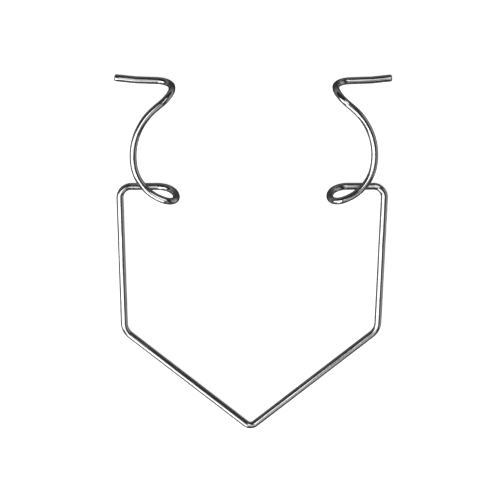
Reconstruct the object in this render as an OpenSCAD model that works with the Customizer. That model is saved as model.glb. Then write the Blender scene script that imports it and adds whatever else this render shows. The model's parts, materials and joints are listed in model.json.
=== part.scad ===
// Wire eyelid speculum: one length of round spring wire, bent cold into a V-shaped
// spring, two side arms, and two lid hooks whose curved blades face away from each other.
// It lies on the XY plane with the hooks up. +X is the right arm and +Y the free ends.

/* [Wire] */
// Diameter of the round wire
wire_d = 0.8; // [0.5:0.05:1.2]
// Rounding of the cut edge at the two free ends
tip_round = 0.2; // [0.05:0.01:0.24]

/* [Spring] */
// Distance between the two knees, corner to corner
knee_gap = 28.9; // [24:0.1:36]
// Height of the knees along Y over the corner of the V
knee_rise = 11.6; // [8:0.1:16]
// Bend radius on the centre line at the bottom of the V
spring_r = 0.85; // [0.7:0.05:2]
// Bend radius on the centre line at each knee
knee_r = 1.85; // [0.7:0.05:3]
// Distance along each spring leg, from the corner of the V to the centre of its flexing
flex_at = 8.6; // [5:0.1:11]

/* [Side arms] */
// Length of each side arm along Y, knee corner to shoulder corner
arm_length = 16.8; // [12:0.1:24]
// Distance between the two shoulders, corner to corner
shoulder_gap = 29.9; // [26:0.1:36]
// Bend radius on the centre line at each shoulder
shoulder_r = 1.25; // [0.7:0.05:2]

/* [Lid hooks] */
// Depth of the hooks, from the centre line of the bridge to that of the blade
hook_depth = 3.5; // [3.4:0.1:5]
// Clear distance on the centre lines between the two near hooks
near_gap = 17.2; // [14:0.1:19]
// How far the blade end of a near hook leans back towards the spring
near_lean = 1.25; // [0.6:0.05:2]
// Bend radius of a near hook where it leaves the bridge
near_foot_r = 2.1; // [1:0.05:2.1]
// Bend radius of a near hook where it enters the blade
near_top_r = 1.3; // [0.8:0.05:1.3]
// Distance on the centre lines between the two far hooks
far_gap = 18.2; // [15:0.1:20]
// How far the tail end of a far hook leans away from the spring
far_lean = 0.9; // [0.4:0.05:1.6]
// Bend radius of a far hook where it leaves the blade
far_top_r = 1.9; // [1:0.05:2.2]
// Bend radius of a far hook where it enters the tail
far_foot_r = 1.6; // [1:0.05:1.8]

/* [Blades] */
// Distance between the lower corners of the two blades
blade_low_gap = 26; // [24:0.1:29]
// Place of the lower blade corner along Y, over the bridge
blade_low_y = 0.25; // [-0.5:0.05:1]
// Bend radius at the lower blade corner
blade_low_r = 4.9; // [3:0.1:5.2]
// Distance between the upper corners of the two blades
blade_high_gap = 27.6; // [25:0.1:29]
// Place of the upper blade corner along Y, over the bridge
blade_high_y = 7.2; // [6.8:0.1:8]
// Bend radius at the upper blade corner
blade_high_r = 7; // [4:0.1:7]
// Place of the far hook's blade end along Y, over the bridge
blade_end_y = 11.1; // [10.8:0.1:14]

/* [Tails] */
// Distance between the bends near the two free ends
tail_bend_gap = 26.4; // [24:0.1:28]
// Bend radius of a tail
tail_r = 5; // [2:0.5:10]
// Distance between the two free ends
tail_gap = 31; // [29.4:0.1:36]
// Rise along Y from a far hook to the tail bend
tail_rise = 0.15; // [0:0.05:0.6]
// Rise along Y from the tail bend to the free end
tip_rise = 0.25; // [0:0.05:0.8]

/* [Hidden] */
$fn = 64;
wire_r = wire_d / 2;

// A bend is this much thicker than the straight wire, as cold bending leaves it
bend_swell = 0.003;
// Straight wire runs this far into a bend of the same piece
lap = 0.02;
// Shortest straight between two bends
least_run = 0.04;

// Y of each level over the corner of the V
bridge_y = knee_rise + arm_length;
far_top_y = bridge_y + blade_end_y;
far_foot_y = far_top_y + far_lean;
tail_bend_y = far_foot_y + tail_rise;
tip_y = tail_bend_y + tip_rise;

// The origin is the middle of the outline along Y, at the underside of the wire
leg_slope = atan2(knee_rise, knee_gap / 2);
outline_low = spring_r / cos(leg_slope) - spring_r - wire_r;
tail_slope = atan2(tip_rise, (tail_gap - tail_bend_gap) / 2);
outline_high = tip_y + (wire_r - tip_round) * cos(tail_slope)
    - tip_round * sin(tail_slope) + tip_round;
mid_y = (outline_low + outline_high) / 2;

// A corner of the right arm's centre line, where gap is its distance from the left one
function corner(gap, y, z = 0) = [gap / 2, y - mid_y, z + wire_r];

// Places in the list of corners, in order along the wire
VEE = 0;
KNEE = 1;
SHOULDER = 2;
NEAR_FOOT = 3;
NEAR_TOP = 4;
BLADE_LOW = 5;
BLADE_HIGH = 6;
FAR_TOP = 7;
FAR_FOOT = 8;
TAIL_BEND = 9;
TIP = 10;

left_knee = corner(-knee_gap, knee_rise);
corners = [
    corner(0, 0),
    corner(knee_gap, knee_rise),
    corner(shoulder_gap, bridge_y),
    corner(near_gap, bridge_y),
    corner(near_gap, bridge_y - near_lean, hook_depth),
    corner(blade_low_gap, bridge_y + blade_low_y, hook_depth),
    corner(blade_high_gap, bridge_y + blade_high_y, hook_depth),
    corner(far_gap, far_top_y, hook_depth),
    corner(far_gap, far_foot_y),
    corner(tail_bend_gap, tail_bend_y),
    corner(tail_gap, tip_y)];
radii = [spring_r, knee_r, shoulder_r, near_foot_r, near_top_r,
    blade_low_r, blade_high_r, far_top_r, far_foot_r, tail_r];

// The part of the run after each corner that its own bend may take up
shares = [0.2, 0.5, 0.45, 0.6, 0.32, 0.45, 0.7, 0.52, 0.8, 0.4];

// Centre of a spring leg's flexing, where its root and its moving length meet
flex = corners[VEE] + flex_at * heading(VEE);

// Step from corner i to the next one, and from the one before it
function step_out(i) = corners[i + 1] - corners[i];
function step_in(i) = corners[i] - (i == VEE ? left_knee : corners[i - 1]);

// Direction of the wire after corner i
function heading(i) = step_out(i) / norm(step_out(i));

// Angle that the wire turns through at corner i
function turn(i) = atan2(norm(cross(step_in(i), step_out(i))), step_in(i) * step_out(i));

// Length that the bend at corner i may take of the run before it and after it
function room_in(i) = (i == VEE ? shares[VEE] : 1 - shares[i - 1]) * norm(step_in(i));
function room_out(i) = shares[i] * norm(step_out(i));

// Bend radius at corner i, limited by the straight wire on each side of it
function bend_r(i) =
    min(radii[i], (min(room_in(i), room_out(i)) - least_run / 2) / tan(turn(i) / 2));

// Distance from corner i to where its bend starts and ends
function setback(i) = i == TIP ? 0 : bend_r(i) * tan(turn(i) / 2);
function bend_start(i) = corners[i] - setback(i) * step_in(i) / norm(step_in(i));
function bend_end(i) = corners[i] + setback(i) * heading(i);

// Turns the Z axis into the direction of the run from p to q, and moves to p
module facing(p, q) {
    run = q - p;
    translate(p)
        rotate([0, acos(run.z / norm(run)), atan2(run.y, run.x)])
            children();
}

// Straight wire from p to q, and on past each end into a bend of the same piece
module bar(p, q, into_p = 0, into_q = 0) {
    facing(p, q)
        translate([0, 0, -into_p])
            cylinder(h = norm(q - p) + into_p + into_q, r = wire_r);
}

// Straight wire after corner i, between its bend and the next one
module run_after(i, into_p = lap, into_q = lap) {
    bar(bend_end(i), bend_start(i + 1), into_p, into_q);
}

// Wire bent round corner i
module bend_at(i) {
    along = step_in(i) / norm(step_in(i));
    aside = step_out(i) - (step_out(i) * along) * along;
    inward = aside / norm(aside);
    axis = cross(along, inward);
    centre = bend_start(i) + bend_r(i) * inward;
    multmatrix([
        [-inward.x, along.x, axis.x, centre.x],
        [-inward.y, along.y, axis.y, centre.y],
        [-inward.z, along.z, axis.z, centre.z],
        [0, 0, 0, 1]])
        rotate_extrude(angle = turn(i))
            translate([bend_r(i), 0])
                circle(r = wire_r + bend_swell);
}

// Straight wire after corner i, up to a free end with a rounded edge
module end_after(i) {
    length = norm(corners[TIP] - bend_end(i));
    facing(bend_end(i), corners[TIP])
        rotate_extrude() {
            translate([0, -lap])
                square([wire_r, lap + length - tip_round]);
            square([wire_r - tip_round, length]);
            translate([wire_r - tip_round, length - tip_round])
                intersection() {
                    circle(r = tip_round);
                    square(tip_round);
                }
        }
}

// The same piece on the left arm
module left() {
    mirror([1, 0, 0]) children();
}

// Bottom of the V, between its two legs
module spring_bend() {
    color("silver") bend_at(VEE);
}

// Fixed half of a spring leg, from the bottom of the V to the centre of flexing
module spring_root() {
    color("lightgray") bar(bend_end(VEE), flex);
}

// Moving half of a spring leg, up to the knee
module spring_leg() {
    color("silver") bar(flex, bend_start(KNEE));
}

// Side arm, with the bends of its knee and its shoulder
module side_arm() {
    color("lightgray") {
        bend_at(KNEE);
        run_after(KNEE);
        bend_at(SHOULDER);
    }
}

// Bridge that lies over the lid, from the shoulder to the near hook
module lid_bridge() {
    color("silver") run_after(SHOULDER, 0, 0);
}

// Near hook, which takes the wire round the lid margin to the blade's level
module near_hook() {
    color("lightgray") {
        bend_at(NEAR_FOOT);
        run_after(NEAR_FOOT);
        bend_at(NEAR_TOP);
    }
}

// Curved blade that lies under the lid
module lid_blade() {
    color("silver") {
        run_after(NEAR_TOP, 0, lap);
        bend_at(BLADE_LOW);
        run_after(BLADE_LOW);
        bend_at(BLADE_HIGH);
        run_after(BLADE_HIGH, lap, 0);
    }
}

// Far hook, which takes the wire back round the lid margin
module far_hook() {
    color("lightgray") {
        bend_at(FAR_TOP);
        run_after(FAR_TOP);
        bend_at(FAR_FOOT);
    }
}

// Free tail that lies over the lid, up to its cut end
module tail() {
    color("silver") {
        run_after(FAR_FOOT, 0, lap);
        bend_at(TAIL_BEND);
        end_after(TAIL_BEND);
    }
}

spring_bend();
left() spring_root();  // left_spring_root
left() spring_leg();  // left_spring_leg
left() side_arm();  // left_side_arm
left() lid_bridge();  // left_lid_bridge
left() near_hook();  // left_near_hook
left() lid_blade();  // left_lid_blade
left() far_hook();  // left_far_hook
left() tail();  // left_tail
spring_root();  // right_spring_root
spring_leg();  // right_spring_leg
side_arm();  // right_side_arm
lid_bridge();  // right_lid_bridge
near_hook();  // right_near_hook
lid_blade();  // right_lid_blade
far_hook();  // right_far_hook
tail();  // right_tail
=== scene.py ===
"""Finishes a wire eyelid speculum: one polished spring wire, bent into a V, two arms and two lid hooks.

Every length of the wire is swept as its own piece, and all but the two spring legs follow their body of the
fixed frame.
"""

import json
import math

import bmesh
import bpy
from bpy.props import FloatProperty, FloatVectorProperty, IntProperty, PointerProperty
from mathutils import Matrix, Vector


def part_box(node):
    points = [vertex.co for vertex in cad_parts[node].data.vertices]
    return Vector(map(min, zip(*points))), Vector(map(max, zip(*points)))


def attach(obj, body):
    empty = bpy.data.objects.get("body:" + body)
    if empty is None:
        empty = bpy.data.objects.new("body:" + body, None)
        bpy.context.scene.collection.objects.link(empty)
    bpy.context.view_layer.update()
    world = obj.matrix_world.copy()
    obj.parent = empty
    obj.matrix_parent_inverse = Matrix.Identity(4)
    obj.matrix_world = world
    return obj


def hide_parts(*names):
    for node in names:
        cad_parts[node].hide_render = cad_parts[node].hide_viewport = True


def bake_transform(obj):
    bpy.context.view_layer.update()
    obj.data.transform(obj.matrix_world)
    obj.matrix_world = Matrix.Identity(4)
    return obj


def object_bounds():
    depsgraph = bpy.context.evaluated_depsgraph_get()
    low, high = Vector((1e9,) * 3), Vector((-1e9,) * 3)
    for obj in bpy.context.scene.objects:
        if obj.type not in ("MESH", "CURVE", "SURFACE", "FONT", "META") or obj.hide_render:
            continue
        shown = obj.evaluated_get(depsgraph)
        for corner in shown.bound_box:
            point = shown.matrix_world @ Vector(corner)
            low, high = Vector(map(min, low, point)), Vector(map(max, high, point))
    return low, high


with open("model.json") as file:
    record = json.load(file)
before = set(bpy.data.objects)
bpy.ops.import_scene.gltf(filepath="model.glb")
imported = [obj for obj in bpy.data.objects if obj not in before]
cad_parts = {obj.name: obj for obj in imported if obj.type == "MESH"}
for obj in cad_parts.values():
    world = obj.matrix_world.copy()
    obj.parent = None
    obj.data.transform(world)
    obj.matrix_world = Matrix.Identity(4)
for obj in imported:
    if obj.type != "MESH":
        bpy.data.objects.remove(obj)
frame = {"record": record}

bl_info = {
    "name": "Wire eyelid speculum",
    "version": (1, 0, 0),
    "blender": (4, 5, 0),
    "location": "3D View > Sidebar > Speculum",
    "description": "Sweeps the polished wire of an eyelid speculum and lights it",
    "category": "Object",
}

MM = 0.001
MOUNTS = {mount["name"]: mount for mount in frame["record"]["mounts"]}
LOW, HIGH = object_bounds()

# Corners of the wire's centre line, in order from the bottom of the V to a free end
(VEE, KNEE, SHOULDER, NEAR_FOOT, NEAR_TOP, BLADE_LOW, BLADE_HIGH,
 FAR_TOP, FAR_FOOT, TAIL_BEND, TIP) = range(11)
SIDES = {"left": -1, "right": 1}

# Furthest that a piece's box may be from the box of its nodes, in millimetres
FIT = 0.05

# Nearest and furthest distance that the camera sees, in metres
VIEW_NEAR, VIEW_FAR = 0.01, 20

# How high a direction in the room points, from -1, straight down, to 1, straight up: where the
# table starts to grow lighter, its far edge, and the two ends of the soft step from table to room
TABLE_NEAR, TABLE_FAR = -0.75, -0.02
HORIZON = (-0.03, 0.04)

# Scale of the floor's grain, for each metre, and the darker part's share of the floor's colour
FLOOR_GRAIN = 900
FLOOR_SHADE = 0.98


def length(name, description, default):
    """A length that the user can set, given in millimetres and kept in metres."""
    return FloatProperty(name=name, description=description, default=default * MM,
                         min=0, precision=5, unit="LENGTH", subtype="DISTANCE")


def share(name, description, default, most=1.0):
    """A plain number from 0 to most."""
    return FloatProperty(name=name, description=description, default=default,
                         min=0, max=most, subtype="FACTOR")


def colour(name, description, default):
    """A linear colour."""
    return FloatVectorProperty(name=name, description=description, default=default,
                               min=0, max=1, size=3, subtype="COLOR")


def angle(name, description, default):
    """An angle given in degrees."""
    return FloatProperty(name=name, description=description, default=math.radians(default),
                         unit="ROTATION", subtype="ANGLE")


class WireSizes(bpy.types.PropertyGroup):
    """Sizes of the bent wire. A gap is the distance between the left and the right corner."""

    wire_d: length("Wire", "Diameter of the wire", 2 * MOUNTS["right_tail_end"]["dims"]["r_mm"])
    tip_round: length("Tip rounding", "Rounding of the two cut ends", 0.2)
    knee_gap: length("Knee gap", "Distance between the knees", 28.9)
    knee_rise: length("Knee rise", "Height of the knees over the bottom of the V", 11.6)
    spring_r: length("Spring radius", "Bend radius at the bottom of the V", 0.85)
    knee_r: length("Knee radius", "Bend radius at a knee", 1.85)
    arm_length: length("Arm length", "Length of a side arm", 16.8)
    shoulder_gap: length("Shoulder gap", "Distance between the shoulders", 29.9)
    shoulder_r: length("Shoulder radius", "Bend radius at a shoulder", 1.25)
    hook_depth: length("Hook depth", "Distance from the bridge's level to the blade's", 3.5)
    near_gap: length("Near hook gap", "Distance between the near hooks", 17.2)
    near_lean: length("Near hook lean", "Lean of a near hook towards the spring", 1.25)
    near_foot_r: length("Near foot radius", "Bend radius from the bridge to the near hook", 2.1)
    near_top_r: length("Near top radius", "Bend radius from the near hook to the blade", 1.3)
    far_gap: length("Far hook gap", "Distance between the far hooks", 18.2)
    far_lean: length("Far hook lean", "Lean of a far hook away from the spring", 0.9)
    far_top_r: length("Far top radius", "Bend radius from the blade to the far hook", 1.9)
    far_foot_r: length("Far foot radius", "Bend radius from the far hook to the tail", 1.6)
    blade_low_gap: length("Lower blade gap", "Distance between the lower blade corners", 26)
    blade_low_y: length("Lower blade place", "Lower blade corner over the bridge", 0.25)
    blade_low_r: length("Lower blade radius", "Bend radius at the lower blade corner", 4.9)
    blade_high_gap: length("Upper blade gap", "Distance between the upper blade corners", 27.6)
    blade_high_y: length("Upper blade place", "Upper blade corner over the bridge", 7.2)
    blade_high_r: length("Upper blade radius", "Bend radius at the upper blade corner", 7)
    blade_end_y: length("Blade end", "Far end of the blade over the bridge", 11.1)
    tail_bend_gap: length("Tail bend gap", "Distance between the bends in the tails", 26.4)
    tail_r: length("Tail radius", "Bend radius of a tail", 5)
    tail_gap: length("Tail gap", "Distance between the two free ends", 31)
    tail_rise: length("Tail rise", "Rise from the far hook to the tail's bend", 0.15)
    tip_rise: length("Tip rise", "Rise from the tail's bend to the free end", 0.25)
    sides: IntProperty(name="Sides", description="Sides of the swept circle", default=48, min=16)
    ring_angle: FloatProperty(name="Ring angle", description="Largest turn between two rings",
                              default=math.radians(5), min=0.01, unit="ROTATION", subtype="ANGLE")
    ring_gap: length("Ring gap", "Largest distance between two rings of straight wire", 0.6)
    flattening: share("Flattening", "Part of its thickness that a tight bend loses", 0.035, 0.1)


class SteelFinish(bpy.types.PropertyGroup):
    """Finish of the polished spring steel."""

    bright: colour("Bright steel", "Colour of the polished steel", (0.66, 0.66, 0.67))
    dull: colour("Dull steel", "Colour where the polish is weaker", (0.55, 0.55, 0.565))
    line: colour("Line", "Colour down inside the drawing lines and scratches", (0.34, 0.34, 0.35))
    roughness: share("Roughness", "Roughness of the best polished steel", 0.07)
    unevenness: share("Unevenness", "Roughness added where the polish is weaker", 0.11)
    relief: length("Relief", "Depth of the drawing lines, peel and scratches", 0.008)


class StudioLight(bpy.types.PropertyGroup):
    """Floor, room, soft panels and camera."""

    floor: colour("Floor", "Colour of the pale floor", (0.9, 0.9, 0.9))
    floor_radius: length("Floor radius", "Radius of the round floor", 2000)
    floor_gap: length("Floor gap", "Gap between the object and the floor", 0.01)
    floor_glow: share("Floor glow", "Light that comes up through the floor", 0.8, 2)
    backdrop: colour("Backdrop", "Colour beyond the edge of the floor", (0.96, 0.96, 0.96))
    room: colour("Room", "Light of the room between the panels", (0.03, 0.03, 0.03))
    table_near: colour("Table below", "Light from the table right under the object", (0.05, 0.05, 0.05))
    table_far: colour("Table far off", "Light from the table further off", (0.25, 0.25, 0.25))
    panel_distance: length("Panel distance", "Distance from the object to each panel", 600)
    main_light: share("Main light", "Brightness of the left box and the front left strip", 2.5, 10)
    strip_light: share("Strip light", "Brightness of the front right strip", 0.6, 10)
    top_light: share("Top light", "Brightness of the box behind", 1.6, 10)
    fill_light: share("Fill light", "Brightness of the box low on the right", 0.35, 10)
    camera_distance: length("Camera distance", "Distance from the object to the camera", 290)
    camera_tilt: angle("Camera tilt", "Lean of the camera towards the free ends", 14)
    camera_yaw: angle("Camera yaw", "Lean of the camera towards the left arm", 2.5)
    camera_roll: angle("Camera roll", "Turn of the camera round its own axis", 0.5)
    aim_left: length("Aim left", "How far to the left of the origin the camera aims", 0.2)
    aim_up: length("Aim up", "How far beyond the origin the camera aims, towards the free ends", 0.4)
    lens: FloatProperty(name="Lens", description="Focal length in millimetres", default=184, min=20)


# ---------------------------------------------------------------- the wire's route


class Bend:
    """One bend of the centre line: where it starts and ends, and what it turns round."""

    def __init__(self, before, corner, after, radius):
        along = (corner - before).normalized()
        away = (after - corner).normalized()
        self.angle = along.angle(away)
        self.radius = radius
        setback = radius * math.tan(self.angle / 2)
        self.start = corner - setback * along
        self.end = corner + setback * away
        self.axis = along.cross(away).normalized()
        self.inward = self.axis.cross(along)
        self.centre = self.start + radius * self.inward
        self.direction = away
        self.turn = Matrix.Rotation(self.angle, 3, self.axis)


class Route:
    """The centre line of one side, from the bottom of the V to the free end."""

    def __init__(self, sizes, side):
        s = sizes
        wire_r = s.wire_d / 2
        bridge = s.knee_rise + s.arm_length
        far_top = bridge + s.blade_end_y
        far_foot = far_top + s.far_lean
        tail = far_foot + s.tail_rise
        plan = [
            (0, 0, 0),
            (s.knee_gap, s.knee_rise, 0),
            (s.shoulder_gap, bridge, 0),
            (s.near_gap, bridge, 0),
            (s.near_gap, bridge - s.near_lean, s.hook_depth),
            (s.blade_low_gap, bridge + s.blade_low_y, s.hook_depth),
            (s.blade_high_gap, bridge + s.blade_high_y, s.hook_depth),
            (s.far_gap, far_top, s.hook_depth),
            (s.far_gap, far_foot, 0),
            (s.tail_bend_gap, tail, 0),
            (s.tail_gap, tail + s.tip_rise, 0),
        ]
        # The lowest part of the outline is the outside of the V's bend
        slope = math.atan2(s.knee_rise, s.knee_gap / 2)
        lowest = s.spring_r / math.cos(slope) - s.spring_r - wire_r
        origin_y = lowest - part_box("spring_bend")[0].y
        self.corners = [Vector((side * gap / 2, y - origin_y, z + wire_r)) for gap, y, z in plan]
        radii = [s.spring_r, s.knee_r, s.shoulder_r, s.near_foot_r, s.near_top_r,
                 s.blade_low_r, s.blade_high_r, s.far_top_r, s.far_foot_r, s.tail_r]
        mirrored = Vector((-1, 1, 1)) * self.corners[KNEE]
        points = [mirrored] + self.corners
        self.bends = [Bend(*points[i:i + 3], radius) for i, radius in enumerate(radii)]

    def grain(self, bend):
        """A direction across the wire at the start of a bend, carried along without twist."""
        across = Vector((0, 0, 1))
        for earlier in self.bends[:bend]:
            across = earlier.turn @ across
        return across

    def distance(self, bend):
        """Length of wire from the middle of the V to the start of a bend."""
        first = self.bends[VEE]
        total = -first.angle * first.radius / 2
        for here, after in zip(self.bends[:bend], self.bends[1:bend + 1]):
            total += here.angle * here.radius + (after.start - here.end).length
        return total


# ---------------------------------------------------------------- sweeping the wire


class Sweep:
    """A solid length of wire, drawn out ring by ring from a circle."""

    def __init__(self, sizes, start, direction, across, distance):
        self.sizes = sizes
        self.bm = bmesh.new()
        # Place of each point on the wire before it was bent, in millimetres, with Z along it
        self.straight = self.bm.verts.layers.float_vector.new("straight")
        # How far cold bending has worked the steel, from 0 to 1
        self.worked = self.bm.verts.layers.float.new("worked")
        self.middle = start.copy()
        self.direction = direction.copy()
        self.distance = distance
        side = across.cross(direction)
        turned = Matrix((across, side, direction)).transposed().to_4x4()
        ring = bmesh.ops.create_circle(self.bm, segments=sizes.sides, radius=sizes.wire_d / 2,
                                       matrix=Matrix.Translation(start) @ turned)["verts"]
        for vert in ring:
            out = (vert.co - start) / MM
            vert[self.straight] = (out.dot(across), out.dot(side), distance / MM)
        self.edges = list(self.bm.edges)
        self.first = list(self.edges)

    def _mark(self, verts, run, worked):
        """Notes how far along the wire new points are, and how far bending has worked the steel there."""
        for vert in verts:
            x, y, _ = vert[self.straight]
            vert[self.straight] = (x, y, (self.distance + run) / MM)
            vert[self.worked] = worked

    def run(self, end):
        """Straight wire from here to a point."""
        step = end - self.middle
        rings = max(1, math.ceil(step.length / self.sizes.ring_gap))
        for i in range(rings):
            made = bmesh.ops.extrude_edge_only(self.bm, edges=self.edges)["geom"]
            verts = [v for v in made if isinstance(v, bmesh.types.BMVert)]
            self.edges = [e for e in made if isinstance(e, bmesh.types.BMEdge)]
            bmesh.ops.translate(self.bm, verts=verts, vec=step / rings)
            self._mark(verts, step.length * (i + 1) / rings, 0)
        self.middle = end.copy()
        self.distance += step.length

    def turn(self, bend):
        """Wire bent round a corner, flattened across the bend's own plane where it is tight."""
        rings = max(4, math.ceil(bend.angle / self.sizes.ring_angle))
        wire_r = self.sizes.wire_d / 2
        tightness = min(1, 2 * wire_r / bend.radius)
        rows = []
        for i in range(rings):
            made = bmesh.ops.spin(self.bm, geom=self.edges, cent=bend.centre, axis=bend.axis,
                                  angle=bend.angle / rings, steps=1, use_duplicate=False)["geom_last"]
            verts = [v for v in made if isinstance(v, bmesh.types.BMVert)]
            self.edges = [e for e in made if isinstance(e, bmesh.types.BMEdge)]
            part = (i + 1) / rings
            worked = tightness * math.sin(math.pi * part)
            self._mark(verts, bend.angle * bend.radius * part, worked)
            rows.append((verts, part, worked))
        for verts, part, worked in rows:
            inward = Matrix.Rotation(bend.angle * part, 3, bend.axis) @ bend.inward
            middle = bend.centre - bend.radius * inward
            squeeze = Matrix.Scale(1 - self.sizes.flattening * worked, 4, inward)
            bmesh.ops.transform(self.bm, matrix=squeeze, space=Matrix.Translation(-middle), verts=verts)
        self.middle = bend.end.copy()
        self.distance += bend.angle * bend.radius

    def round_off(self):
        """Closes the free end and rounds its edge."""
        face = bmesh.ops.contextual_create(self.bm, geom=self.edges)["faces"][0]
        bmesh.ops.bevel(self.bm, geom=list(face.edges), offset=self.sizes.tip_round,
                        offset_type="OFFSET", segments=8, profile=0.5, affect="EDGES", material=-1,
                        clamp_overlap=True)
        self.edges = []

    def finish(self, name, finish):
        """Closes the cut faces and makes the object, with the cuts' edges kept sharp."""
        for loop in (self.first, self.edges):
            if loop:
                made = bmesh.ops.contextual_create(self.bm, geom=loop)["faces"]
                for edge in made[0].edges:
                    edge.smooth = False
        bmesh.ops.recalc_face_normals(self.bm, faces=self.bm.faces)
        for face in self.bm.faces:
            face.smooth = True
        mesh = bpy.data.meshes.new(name)
        self.bm.to_mesh(mesh)
        self.bm.free()
        piece = bpy.data.objects.new(name, mesh)
        bpy.context.scene.collection.objects.link(piece)
        mesh.materials.append(finish)
        return piece


def check_fit(piece, *nodes):
    """Raises an error if a piece isn't as large as the nodes that it stands for, or isn't where they are."""
    boxes = [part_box(node) for node in nodes]
    points = [vert.co for vert in piece.data.vertices]
    for axis in range(3):
        low = min(box[0][axis] for box in boxes)
        high = max(box[1][axis] for box in boxes)
        off = max(abs(min(p[axis] for p in points) - low), abs(max(p[axis] for p in points) - high))
        if off > FIT * MM:
            raise RuntimeError(f"{piece.name} is {off / MM:.3f} mm off {', '.join(nodes)}")


def stand_for(piece, body, *nodes):
    """The piece rides on a body in place of its nodes."""
    check_fit(piece, *nodes)
    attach(piece, body)
    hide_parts(*nodes)


def start_sweep(sizes, route, bend):
    """A sweep that starts where a bend starts."""
    here = route.bends[bend]
    across = route.grain(bend)
    return Sweep(sizes, here.start, here.inward.cross(here.axis), across, route.distance(bend))


def start_after(sizes, route, bend):
    """A sweep that starts where a bend ends."""
    here = route.bends[bend]
    distance = route.distance(bend) + here.angle * here.radius
    return Sweep(sizes, here.end, here.direction, route.grain(bend + 1), distance)


# ---------------------------------------------------------------- steel


class Value:
    """A node's output. Arithmetic on it adds Math nodes."""

    def __init__(self, board, socket):
        self.board = board
        self.socket = socket

    def math(self, operation, *others):
        """A Math node on this value and others."""
        inputs = dict(enumerate((self, *others)))
        return self.board.node("Math", {"operation": operation}, inputs)

    def __add__(self, other):
        return self.math("ADD", other)

    def __sub__(self, other):
        return self.math("SUBTRACT", other)

    def __rsub__(self, other):
        return self.board.node("Math", {"operation": "SUBTRACT"}, {0: other, 1: self})

    def __mul__(self, other):
        return self.math("MULTIPLY", other)

    __radd__ = __add__
    __rmul__ = __mul__


class Board:
    """The node tree of one material or world."""

    def __init__(self, tree):
        self.tree = tree
        tree.nodes.clear()

    def node(self, kind, settings=None, inputs=None, output=0):
        """Adds a shader node with its settings and inputs, and returns one of its outputs."""
        made = self.tree.nodes.new("ShaderNode" + kind)
        for name, value in (settings or {}).items():
            setattr(made, name, value)
        for name, value in (inputs or {}).items():
            if isinstance(value, Value):
                self.tree.links.new(value.socket, made.inputs[name])
            else:
                made.inputs[name].default_value = value
        return Value(self, made.outputs[output]) if made.outputs else made

    def noise(self, place, scale, stretch=(1, 1, 1), detail=2.0):
        """Noise on a place, finer where the stretch is larger."""
        placed = self.node("Mapping", {"vector_type": "POINT"}, {"Vector": place, "Scale": stretch})
        return self.node("TexNoise", {}, {"Vector": placed, "Scale": scale, "Detail": detail})

    def step(self, value, low, high):
        """0 below low, 1 above high, and smooth between them."""
        return self.node("MapRange", {"interpolation_type": "SMOOTHSTEP"},
                         {"Value": value, "From Min": low, "From Max": high})

    def blend(self, factor, one, other):
        """One colour where the factor is 0 and the other where it is 1."""
        ends = [end if isinstance(end, Value) else (*end, 1) for end in (one, other)]
        # The Mix node keeps its colours in inputs 6 and 7 and in output 2
        return self.node("Mix", {"data_type": "RGBA"}, {0: factor, 6: ends[0], 7: ends[1]}, output=2)


def self_crossing(board, place, scale, stretch, width):
    """Thin lines where a stretched noise passes through its middle value."""
    middle = board.noise(place, scale, stretch, 0) - 0.5
    return 1 - board.step(middle.math("ABSOLUTE"), 0.0, width)


def polished_steel(finish):
    """Cold-drawn spring steel: lines along the wire, peel at the bends and a few fine scratches."""
    made = bpy.data.materials.get("polished_steel")
    if made:
        return made
    made = bpy.data.materials.new("polished_steel")
    made.use_nodes = True
    board = Board(made.node_tree)
    place = board.node("Attribute", {"attribute_name": "straight"}, output=1)
    worked = board.node("Attribute", {"attribute_name": "worked"}, output=2)

    # The die leaves long lines, coarse and fine, and the polishing wheel short ones round the wire
    coarse = board.noise(place, 8, (1, 1, 0.03), 3)
    fine = board.noise(place, 26, (1, 1, 0.012), 2)
    drawn = coarse * 0.6 + fine * 0.4
    wheel = board.noise(place, 5, (0.5, 0.5, 4), 3)
    smudge = board.step(board.noise(place, 0.55, detail=2), 0.42, 0.66)
    peel = board.noise(place, 7, detail=2)

    # Handling leaves hairlines, most of them along the wire
    along = self_crossing(board, place, 2.6, (1, 1, 0.12), 0.004)
    slanting = self_crossing(board, place, 1.7, (1.6, 0.25, 0.5), 0.003)
    scuffed = board.step(board.noise(place, 0.8, detail=1), 0.5, 0.6)
    scratch = along * (0.35 + scuffed * 0.65) + slanting * scuffed

    tone = board.step(drawn, 0.38, 0.64) * 0.4 + smudge * 0.35 + worked * 0.25
    steel = board.blend(tone, finish.bright, finish.dull)
    steel = board.blend(scratch * 0.5, steel, finish.line)
    rough = finish.roughness + finish.unevenness * (tone + wheel * 0.3) + scratch * 0.1
    height = drawn + wheel * 0.2 * smudge + peel * worked * 0.35 - scratch * 0.12
    bump = board.node("Bump", {}, {"Strength": 1.0, "Distance": finish.relief, "Height": height})
    surface = board.node("BsdfPrincipled", {}, {
        "Base Color": steel, "Metallic": 1.0, "Roughness": rough, "Normal": bump})
    board.node("OutputMaterial", {}, {"Surface": surface})
    return made


# ---------------------------------------------------------------- operators, one for each kind of piece


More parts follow.
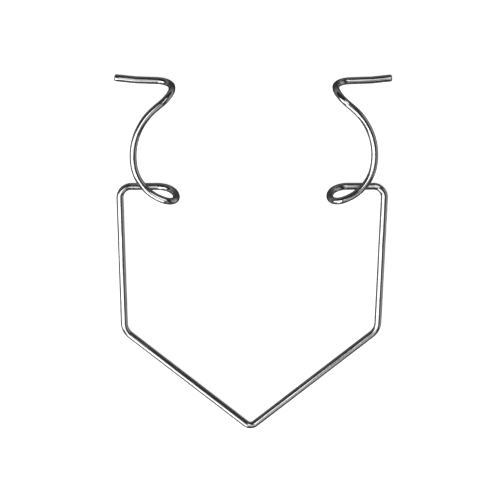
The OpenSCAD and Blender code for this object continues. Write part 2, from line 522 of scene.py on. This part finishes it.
class WirePiece:
    """What the operators that sweep the wire share."""

    bl_options = {"REGISTER"}

    def sides(self):
        """Sizes, name of the side, its route and the finish, for each side in turn."""
        sizes = bpy.context.scene.wire_sizes
        finish = polished_steel(bpy.context.scene.steel_finish)
        for name, side in SIDES.items():
            yield sizes, name, Route(sizes, side), finish

    def bent_piece(self, first, last, kind):
        """A piece on each arm from the start of one bend to the end of another."""
        for sizes, name, route, finish in self.sides():
            sweep = start_sweep(sizes, route, first)
            sweep.turn(route.bends[first])
            for bend in route.bends[first + 1:last + 1]:
                sweep.run(bend.start)
                sweep.turn(bend)
            piece = sweep.finish(f"wire_{name}_{kind}", finish)
            stand_for(piece, f"{name}_arm", f"{name}_{kind}")
        return {"FINISHED"}


class SPECULUM_OT_spring_bend(WirePiece, bpy.types.Operator):
    """Bottom of the V, between the two spring legs"""

    bl_idname = "speculum.spring_bend"
    bl_label = "Spring bend"

    def execute(self, context):
        sizes = context.scene.wire_sizes
        route = Route(sizes, SIDES["right"])
        sweep = start_sweep(sizes, route, VEE)
        sweep.turn(route.bends[VEE])
        piece = sweep.finish("wire_spring_bend", polished_steel(context.scene.steel_finish))
        stand_for(piece, "spring_base", "spring_bend")
        return {"FINISHED"}


class SPECULUM_OT_spring_legs(WirePiece, bpy.types.Operator):
    """Two spring legs, between the bottom of the V and the arms"""

    bl_idname = "speculum.spring_legs"
    bl_label = "Spring legs"

    def execute(self, context):
        for sizes, name, route, finish in self.sides():
            start, end = route.bends[VEE].end, route.bends[KNEE].start
            sweep = start_after(sizes, route, VEE)
            sweep.run(end)
            piece = sweep.finish(f"wire_{name}_spring_leg", finish)
            nodes = (f"{name}_spring_root", f"{name}_spring_leg")
            check_fit(piece, *nodes)
            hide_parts(*nodes)
            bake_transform(piece)
            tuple(start)
            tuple(end)
        return {"FINISHED"}


class SPECULUM_OT_side_arms(WirePiece, bpy.types.Operator):
    """Two side arms, each with the bends of its knee and its shoulder"""

    bl_idname = "speculum.side_arms"
    bl_label = "Side arms"

    def execute(self, context):
        return self.bent_piece(KNEE, SHOULDER, "side_arm")


class SPECULUM_OT_lid_bridges(WirePiece, bpy.types.Operator):
    """Two bridges, which lie over the lids"""

    bl_idname = "speculum.lid_bridges"
    bl_label = "Lid bridges"

    def execute(self, context):
        for sizes, name, route, finish in self.sides():
            sweep = start_after(sizes, route, SHOULDER)
            sweep.run(route.bends[NEAR_FOOT].start)
            piece = sweep.finish(f"wire_{name}_lid_bridge", finish)
            stand_for(piece, f"{name}_arm", f"{name}_lid_bridge")
        return {"FINISHED"}


class SPECULUM_OT_near_hooks(WirePiece, bpy.types.Operator):
    """Two near hooks, which take the wire round the lid margins"""

    bl_idname = "speculum.near_hooks"
    bl_label = "Near hooks"

    def execute(self, context):
        return self.bent_piece(NEAR_FOOT, NEAR_TOP, "near_hook")


class SPECULUM_OT_lid_blades(WirePiece, bpy.types.Operator):
    """Two curved blades, which lie under the lids"""

    bl_idname = "speculum.lid_blades"
    bl_label = "Lid blades"

    def execute(self, context):
        for sizes, name, route, finish in self.sides():
            sweep = start_after(sizes, route, NEAR_TOP)
            for bend in (route.bends[BLADE_LOW], route.bends[BLADE_HIGH]):
                sweep.run(bend.start)
                sweep.turn(bend)
            sweep.run(route.bends[FAR_TOP].start)
            piece = sweep.finish(f"wire_{name}_lid_blade", finish)
            stand_for(piece, f"{name}_arm", f"{name}_lid_blade")
        return {"FINISHED"}


class SPECULUM_OT_far_hooks(WirePiece, bpy.types.Operator):
    """Two far hooks, which bring the wire back over the lids"""

    bl_idname = "speculum.far_hooks"
    bl_label = "Far hooks"

    def execute(self, context):
        return self.bent_piece(FAR_TOP, FAR_FOOT, "far_hook")


class SPECULUM_OT_tails(WirePiece, bpy.types.Operator):
    """Two free tails, with their cut ends rounded"""

    bl_idname = "speculum.tails"
    bl_label = "Tails"

    def execute(self, context):
        for sizes, name, route, finish in self.sides():
            bend = route.bends[TAIL_BEND]
            sweep = start_after(sizes, route, FAR_FOOT)
            sweep.run(bend.start)
            sweep.turn(bend)
            sweep.run(route.corners[TIP])
            sweep.round_off()
            piece = sweep.finish(f"wire_{name}_tail", finish)
            stand_for(piece, f"{name}_arm", f"{name}_tail")
        return {"FINISHED"}


# ---------------------------------------------------------------- stage


# Soft panels, in degrees: bearing from the right arm, angle from straight up, width and height as
# seen from the object. The last value names the light that the panel belongs to
PANELS = (
    # From overhead down to the left, for the pale band along both side arms
    ("left_box", 195, 40, 35, 60, "main_light"),
    # In front, square to each leg of the V
    ("front_left_strip", 245, 40, 20, 50, "main_light"),
    ("front_right_strip", 300, 35, 15, 45, "strip_light"),
    # Behind, for the wire that runs from side to side
    ("back_box", 60, 25, 20, 40, "top_light"),
    # Low on the right, which keeps the far edges from going black
    ("right_box", 0, 80, 60, 45, "fill_light"),
)


def add_panel(studio, name, bearing, lean, wide, high, brightness):
    """A soft rectangular light that faces the object, with its width level."""
    bearing, lean = math.radians(bearing), math.radians(lean)
    away = Vector((math.cos(bearing) * math.sin(lean), math.sin(bearing) * math.sin(lean), math.cos(lean)))
    across = Vector((0, 0, 1)).cross(away).normalized()
    distance = studio.panel_distance
    data = bpy.data.lights.new(name, "AREA")
    data.shape = "RECTANGLE"
    data.size = 2 * distance * math.tan(math.radians(wide) / 2)
    data.size_y = 2 * distance * math.tan(math.radians(high) / 2)
    # The power grows with the area, so that a panel of any size is equally bright
    data.energy = getattr(studio, brightness) * math.pi * data.size * data.size_y
    light = bpy.data.objects.new(name, data)
    facing = Matrix((across, away.cross(across), away)).transposed().to_4x4()
    light.matrix_world = Matrix.Translation(away * distance) @ facing
    light.visible_camera = False
    bpy.context.scene.collection.objects.link(light)


def floor_finish(studio):
    """Pale floor, lit evenly from below as well as from above."""
    made = bpy.data.materials.new("pale_floor")
    made.use_nodes = True
    board = Board(made.node_tree)
    place = board.node("TexCoord", output=3)
    grain = board.noise(place, FLOOR_GRAIN, detail=2)
    tint = board.blend(grain, tuple(c * FLOOR_SHADE for c in studio.floor), studio.floor)
    surface = board.node("BsdfPrincipled", {}, {
        "Base Color": tint, "Roughness": 0.8, "Specular IOR Level": 0.1,
        "Emission Color": (1, 1, 1, 1), "Emission Strength": studio.floor_glow})
    board.node("OutputMaterial", {}, {"Surface": surface})
    return made


def room_light(studio):
    """A dark room over a grey table for the reflections, and the pale backdrop itself."""
    world = bpy.data.worlds.new("room")
    bpy.context.scene.world = world
    world.use_nodes = True
    board = Board(world.node_tree)
    height = board.node("SeparateXYZ", {}, {0: board.node("TexCoord")}, output=2)
    table = board.blend(board.step(height, TABLE_NEAR, TABLE_FAR), studio.table_near, studio.table_far)
    around = board.blend(board.step(height, *HORIZON), table, studio.room)
    room = board.node("Background", {}, {"Color": around})
    backdrop = board.node("Background", {}, {"Color": (*studio.backdrop, 1)})
    # The first output of the light path is 1 for what the camera itself sees
    seen = board.node("LightPath")
    surface = board.node("MixShader", {}, {0: seen, 1: room, 2: backdrop})
    board.node("OutputWorld", {}, {"Surface": surface})


def lay_floor(studio):
    """A round floor just under the object, which the steel doesn't reflect."""
    bm = bmesh.new()
    under = Matrix.Translation((0, 0, LOW.z - studio.floor_gap))
    bmesh.ops.create_circle(bm, cap_ends=True, segments=96, radius=studio.floor_radius, matrix=under)
    mesh = bpy.data.meshes.new("floor")
    bm.to_mesh(mesh)
    bm.free()
    floor = bpy.data.objects.new("floor", mesh)
    floor.visible_glossy = False
    mesh.materials.append(floor_finish(studio))
    bpy.context.scene.collection.objects.link(floor)


def place_camera(studio):
    """A camera with a long lens over the object, leaning towards the free ends."""
    tilt, yaw, roll = studio.camera_tilt, studio.camera_yaw, studio.camera_roll
    back = Vector((-math.sin(yaw) * math.cos(tilt), math.sin(tilt), math.cos(yaw) * math.cos(tilt)))
    right = Vector((0, 1, 0)).cross(back).normalized()
    up = back.cross(right)
    right, up = (right * math.cos(roll) + up * math.sin(roll),
                 up * math.cos(roll) - right * math.sin(roll))
    spot = back * studio.camera_distance
    # The camera turns a little from its spot, so that the object lies where it should in the view
    aim = up * studio.aim_up - right * studio.aim_left
    back = (spot - aim).normalized()
    right = up.cross(back).normalized()
    turned = Matrix((right, back.cross(right), back)).transposed().to_4x4()
    data = bpy.data.cameras.new("camera")
    data.lens = studio.lens
    data.clip_start, data.clip_end = VIEW_NEAR, VIEW_FAR
    camera = bpy.data.objects.new("camera", data)
    camera.matrix_world = Matrix.Translation(spot) @ turned
    bpy.context.scene.collection.objects.link(camera)
    bpy.context.scene.camera = camera


class SPECULUM_OT_stage(bpy.types.Operator):
    """Floor, room, soft panels and camera"""

    bl_idname = "speculum.stage"
    bl_label = "Stage"

    def execute(self, context):
        studio = context.scene.studio_light
        lay_floor(studio)
        room_light(studio)
        for panel in PANELS:
            add_panel(studio, *panel)
        place_camera(studio)
        context.scene.view_settings.view_transform = "Standard"
        return {"FINISHED"}


PIECES = (SPECULUM_OT_spring_bend, SPECULUM_OT_spring_legs, SPECULUM_OT_side_arms, SPECULUM_OT_lid_bridges,
          SPECULUM_OT_near_hooks, SPECULUM_OT_lid_blades, SPECULUM_OT_far_hooks, SPECULUM_OT_tails,
          SPECULUM_OT_stage)


class SPECULUM_PT_sidebar(bpy.types.Panel):
    """Sizes, finish and operators of the speculum"""

    bl_label = "Eyelid speculum"
    bl_space_type = "VIEW_3D"
    bl_region_type = "UI"
    bl_category = "Speculum"

    def draw(self, context):
        column = self.layout.column()
        for operator in PIECES:
            column.operator(operator.bl_idname)
        for group in (context.scene.wire_sizes, context.scene.steel_finish, context.scene.studio_light):
            box = self.layout.box().column()
            for name in type(group).__annotations__:
                box.prop(group, name)


CLASSES = (WireSizes, SteelFinish, StudioLight, *PIECES, SPECULUM_PT_sidebar)


def register():
    for item in CLASSES:
        bpy.utils.register_class(item)
    bpy.types.Scene.wire_sizes = PointerProperty(type=WireSizes)
    bpy.types.Scene.steel_finish = PointerProperty(type=SteelFinish)
    bpy.types.Scene.studio_light = PointerProperty(type=StudioLight)


def unregister():
    for name in ("wire_sizes", "steel_finish", "studio_light"):
        delattr(bpy.types.Scene, name)
    for item in reversed(CLASSES):
        bpy.utils.unregister_class(item)


def main():
    register()
    for operator in PIECES:
        group, name = operator.bl_idname.split(".")
        getattr(getattr(bpy.ops, group), name)()


if __name__ == "__main__":
    main()
